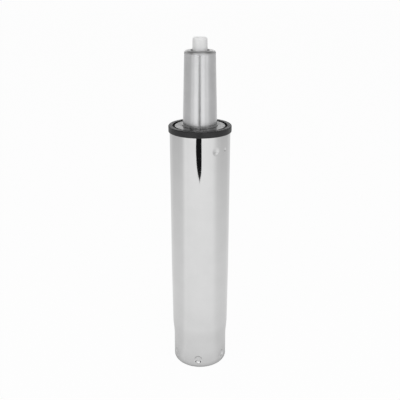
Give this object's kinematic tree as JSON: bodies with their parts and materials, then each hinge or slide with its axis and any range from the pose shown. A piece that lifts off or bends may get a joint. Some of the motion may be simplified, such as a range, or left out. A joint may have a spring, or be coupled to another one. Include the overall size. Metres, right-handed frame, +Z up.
{
  "type": "chair gas lift cylinder",
  "caption": "Height-adjusting gas spring for a swivel chair: a chromed column with a reduced foot, a sliding tapered stem, a swivel bearing and a release button.",
  "frame": {"origin": "centre of the foot rim, on the surface that the column stands on", "axes": "+Z up along the column and the stem, -Y towards the pictured front"},
  "size_m": [0.052, 0.052, 0.29],
  "materials": {
    "chrome_column": "chrome-plated drawn steel, polished",
    "collar_plastic": "satin black moulded nylon",
    "bush_plastic": "glossy black moulded acetal",
    "stem_steel": "satin ground steel",
    "button_plastic": "white, slightly translucent acetal",
    "plated_steel": "zinc-plated pressed steel",
    "bearing_steel": "ground bearing steel",
    "cage_plastic": "natural moulded nylon",
    "rod_steel": "ground and polished steel bar",
    "spring_steel": "blued spring steel",
    "buffer_rubber": "moulded rubber",
    "piston_plastic": "machined acetal",
    "ring_plastic": "low-friction sealing ring",
    "liner_steel": "drawn precision steel tube",
    "guide_bronze": "sintered bronze",
    "seal_rubber": "nitrile rubber",
    "valve_plastic": "glass-filled nylon",
    "guide_plastic": "dark moulded nylon"
  },
  "bodies": {
    "column": {"column_tube": "chrome_column", "collar_cap": "collar_plastic", "guide_bush": "bush_plastic", "end_plate": "plated_steel", "lower_race": "bearing_steel"},
    "ball_cage": {"ball_cage": "cage_plastic", "bearing_balls": "bearing_steel"},
    "rod": {"piston_rod": "rod_steel", "upper_race": "bearing_steel", "support_washer": "plated_steel", "rubber_buffer": "buffer_rubber", "buffer_washer": "plated_steel", "clip_washer": "plated_steel", "retaining_clip": "spring_steel", "piston": "piston_plastic", "piston_ring": "ring_plastic", "piston_washer": "plated_steel", "piston_nut": "plated_steel"},
    "cylinder": {"pressure_tube": "stem_steel", "liner_tube": "liner_steel", "rod_guide": "guide_bronze", "rod_seal": "seal_rubber", "seal_spacer": "plated_steel", "valve_seat": "valve_plastic", "pin_seal": "seal_rubber", "body_ring": "seal_rubber", "valve_guide": "valve_plastic", "pin_ring": "seal_rubber", "button_guide": "guide_plastic"},
    "button": {"release_button": "button_plastic", "valve_pin": "rod_steel"}
  },
  "joints": [
    {"name": "swivel", "type": "hinge", "parent": "column", "child": "rod", "pos_m": [0, 0, 0.0128], "axis": [0, 0, 1], "continuous": true},
    {"name": "height", "type": "slide", "parent": "rod", "child": "cylinder", "axis": [0, 0, 1], "range_m": [0, 0.11]},
    {"name": "release", "type": "slide", "parent": "cylinder", "child": "button", "axis": [0, 0, -1], "range_m": [0, 0.005], "stiffness_N_per_m": 3000},
    {"name": "cage_turn", "type": "hinge", "parent": "column", "child": "ball_cage", "pos_m": [0, 0, 0.0128], "axis": [0, 0, 1], "continuous": true}
  ],
  "couplings": [
    {"joint": "cage_turn", "follows": "swivel", "ratio": 0.5}
  ]
}
